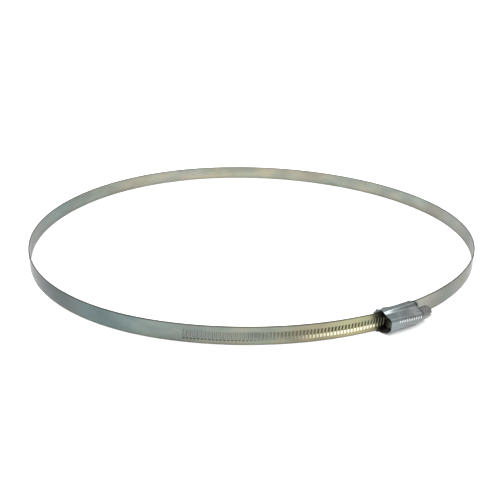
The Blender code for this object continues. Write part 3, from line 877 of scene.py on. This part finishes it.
def band_material():
    """Zinc-plated strip with rolling lines, painted shade and light along it, and the painted shade and
    highlights of the grooves pressed into it.
    """
    n = Nodes("band_zinc")
    uv = n.layer("Strip")
    patches = n.noise(uv, 34, (1, 2.5, 1), 3)
    lines = n.noise(uv, 60, (1, 130, 1), 4, 0.7)
    specks = n.noise(uv, 900, (1, 1, 1), 2)
    colour = groove_painted_light(n, n.parts(uv)[0], band_plating_and_painted_light(n, uv, patches, lines))
    dull = n.span(patches, *MOST_NOISE, 0.30, 0.40)
    roughness = n.math("ADD", dull, n.span(specks, *MOST_NOISE, -0.02, 0.04))
    height = n.math("ADD", n.times(lines, LINE_HEIGHT), n.times(specks, SPECK_HEIGHT))
    return n.finish(colour, roughness, height, 0.02 * MM, 0.5)


HOUSING_TONES = ((0.170, 0.200, 0.202), (0.148, 0.155, 0.156))
SADDLE_TONES = ((0.075, 0.08, 0.08), (0.12, 0.125, 0.125))
# painted shade on the shell's inside and left rim, also used for the dark stretch at its right end
PAINTED_SHADE_AND_DARK_END = (0.045, 0.045, 0.04)
TONE_CHANGES = (-14 * MM, 4 * MM)       # x where a pressing's tone goes from the left one to the right one
DULL_PATCH = (0.22, 0.24, 0.245)
DRAW_LINE = (0.08, 0.09, 0.09)
DASH_TONE = (0.62, 0.63, 0.62)


def pressing_material(name, left, right):
    """Zinc-plated pressing: bluish grey, with draw lines along it, small dull patches, and a dull inside and
    left rim darkened by painted shade, whose dark colour also goes on a stretch at the shell's right end.
    """
    n = Nodes(name)
    place = n.add("ShaderNodeTexCoord").outputs["Object"]
    tone = n.mix(n.span(n.parts(place)[0], *(CENTRE.x + x for x in TONE_CHANGES)), left, right)
    patches = n.noise(place, 170, (1, 1, 1), 3)
    colour = n.mix(n.span(patches, *UPPER_NOISE, 0.0, 0.35), tone, DULL_PATCH)
    lines = n.noise(place, 150, (0.25, 6, 6), 4, 0.7)
    colour = n.mix(n.span(lines, *UPPER_NOISE, 0.0, 0.22), colour, DRAW_LINE)
    side = n.parts(n.layer("Side"))
    colour = n.mix(n.span(side[1], 0.2, 0.8), colour, DASH_TONE)
    # painted shade on the inside and left rim, and the dark stretch at the right end
    colour = n.mix(side[0], colour, PAINTED_SHADE_AND_DARK_END)
    specks = n.noise(place, 2200, (1, 1, 1), 2)
    dull = n.span(patches, *MOST_NOISE, 0.19, 0.27)
    roughness = n.math("ADD", dull, n.span(specks, *MOST_NOISE, -0.02, 0.04))
    roughness = n.math("ADD", roughness, n.times(side[0], 0.45))
    height = n.math("ADD", n.times(lines, LINE_HEIGHT), n.times(specks, SPECK_HEIGHT))
    return n.finish(colour, roughness, height, 0.03 * MM, 0.25)


SCREW_DARK, SCREW_LIGHT = (0.15, 0.15, 0.14), (0.22, 0.22, 0.21)
TURNING_MARK = (0.07, 0.07, 0.07)
SCREW_HIDDEN = (0.035, 0.033, 0.028)
HIDDEN_FADE = 0.4 * MM


def screw_material():
    """Zinc-plated cold-headed screw: grey, with turning marks, and darker where the housing shades it."""
    n = Nodes("screw_zinc")
    place = n.add("ShaderNodeTexCoord").outputs["Object"]
    patches = n.noise(place, 260, (1, 1, 1), 3)
    colour = n.mix(n.span(patches, *UPPER_NOISE), SCREW_DARK, SCREW_LIGHT)
    rings = n.noise(place, 500, (4, 0.3, 0.3), 3, 0.6)
    colour = n.mix(n.span(rings, *UPPER_NOISE, 0.0, 0.2), colour, TURNING_MARK)
    collar_right = CENTRE.x + COLLAR_LEFT + COLLAR_WIDTH
    hidden = n.span(n.parts(place)[0], collar_right, collar_right + HIDDEN_FADE, 0.85, 0.0)
    colour = n.mix(hidden, colour, SCREW_HIDDEN)
    specks = n.noise(place, 2600, (1, 1, 1), 2)
    dull = n.span(patches, *MOST_NOISE, 0.28, 0.40)
    roughness = n.math("ADD", dull, n.span(specks, *MOST_NOISE, -0.02, 0.05))
    height = n.math("ADD", n.times(rings, LINE_HEIGHT), n.times(specks, SPECK_HEIGHT))
    return n.finish(colour, roughness, height, 0.03 * MM, 0.5)


# Stage


FLOOR_HALF = 16.0               # metres, so that no edge is in view
FLOOR_TONE = (0.96, 0.96, 0.96, 1)
SKY_HORIZON = (1.12, 1.13, 1.13, 1)
SKY_ZENITH = (0.98, 1.00, 1.02, 1)
ZENITH_FROM = 0.75              # height on the unit sphere above which the sky is as it is at the zenith
CAMERA_AZIMUTH = -31.5
CAMERA_ELEVATION = 22.46
CAMERA_ROLL = 0.64
CAMERA_DISTANCE = 536.93 * MM
CAMERA_AIM = Vector((-1.05, -0.71, -16.35)) * MM        # from the middle of the part's box
CAMERA_LENS = 46.465            # millimetres, as is the sensor
CAMERA_SENSOR = 36
CAMERA_CLIP = (0.01, 50)
WALL = {"azimuth": CAMERA_AZIMUTH, "elevation": 62, "spread": 75, "strength": 3.8}
STREAK = {"azimuth": 80, "elevation": 50, "distance": 1.6, "size": 0.26, "power": 2.4}


def towards(azimuth, elevation):
    """Unit vector towards a place in the sky, in degrees: azimuth 0 is -Y and 90 is +X."""
    a, e = radians(azimuth), radians(elevation)
    return Vector((sin(a) * cos(e), -cos(a) * cos(e), sin(e)))


def build_floor():
    """A plain, pale floor, far wider than the view."""
    mesh = bpy.data.meshes.new("floor")
    corners = [(x * FLOOR_HALF, y * FLOOR_HALF, 0) for x, y in ((-1, -1), (1, -1), (1, 1), (-1, 1))]
    mesh.from_pydata(corners, [], [(0, 1, 2, 3)])
    made = bpy.data.materials.new("floor_paper")
    made.use_nodes = True
    shader = made.node_tree.nodes["Principled BSDF"]
    shader.inputs["Base Color"].default_value = FLOOR_TONE
    shader.inputs["Roughness"].default_value = 0.9
    shader.inputs["Specular IOR Level"].default_value = 0.1
    mesh.materials.append(made)
    obj = bpy.data.objects.new("floor", mesh)
    bpy.context.scene.collection.objects.link(obj)


def build_world():
    """A pale sky, a little brighter near the horizon."""
    world = bpy.data.worlds.new("studio")
    bpy.context.scene.world = world
    world.use_nodes = True
    tree = world.node_tree
    direction = tree.nodes.new("ShaderNodeTexCoord").outputs["Generated"]
    split = tree.nodes.new("ShaderNodeSeparateXYZ")
    ramp = tree.nodes.new("ShaderNodeValToRGB")
    ramp.color_ramp.elements[0].color = SKY_HORIZON
    ramp.color_ramp.elements[1].color = SKY_ZENITH
    ramp.color_ramp.elements[1].position = ZENITH_FROM
    tree.links.new(direction, split.inputs[0])
    tree.links.new(split.outputs[2], ramp.inputs[0])
    tree.links.new(ramp.outputs[0], tree.nodes["Background"].inputs["Color"])


def place_light(name, light, away):
    """A light turned so that it shines from a direction towards the frame's origin."""
    obj = bpy.data.objects.new(name, light)
    obj.rotation_mode = "QUATERNION"
    obj.rotation_quaternion = away.to_track_quat("Z", "Y")
    bpy.context.scene.collection.objects.link(obj)
    return obj


def area_light(name, azimuth, elevation, distance, size, power):
    """A square softbox."""
    light = bpy.data.lights.new(name, "AREA")
    light.size = size
    light.energy = power
    away = towards(azimuth, elevation)
    place_light(name, light, away).location = away * distance


def sun_light(name, azimuth, elevation, spread, strength):
    """A wide, distant light."""
    light = bpy.data.lights.new(name, "SUN")
    light.angle = radians(spread)
    light.energy = strength
    place_light(name, light, towards(azimuth, elevation))


def build_lights():
    """A bright wall above and behind the camera, and a softbox on the +X side for a streak on the housing."""
    sun_light("wall", **WALL)
    area_light("streak", **STREAK)


def build_camera():
    data = bpy.data.cameras.new("camera")
    data.lens = CAMERA_LENS
    data.sensor_width = CAMERA_SENSOR
    data.clip_start, data.clip_end = CAMERA_CLIP
    obj = bpy.data.objects.new("camera", data)
    back = towards(CAMERA_AZIMUTH, CAMERA_ELEVATION)
    middle = (cad_box[0] + cad_box[1]) / 2
    obj.location = middle + CAMERA_AIM + back * CAMERA_DISTANCE
    obj.rotation_mode = "QUATERNION"
    roll = Quaternion((0, 0, 1), radians(CAMERA_ROLL))
    obj.rotation_quaternion = (-back).to_track_quat("-Z", "Y") @ roll
    bpy.context.scene.collection.objects.link(obj)
    bpy.context.scene.camera = obj


def main():
    band = band_material()
    housing = pressing_material("housing_zinc", *HOUSING_TONES)
    saddle = pressing_material("saddle_zinc", *SADDLE_TONES)
    screw = screw_material()
    build_tail(band)
    build_band(band)
    build_fixed_end(band)
    build_housing(housing)
    build_saddle(saddle)
    build_screw(screw)
    build_floor()
    build_world()
    build_lights()
    build_camera()
    bpy.context.scene.view_settings.view_transform = "Standard"


main()
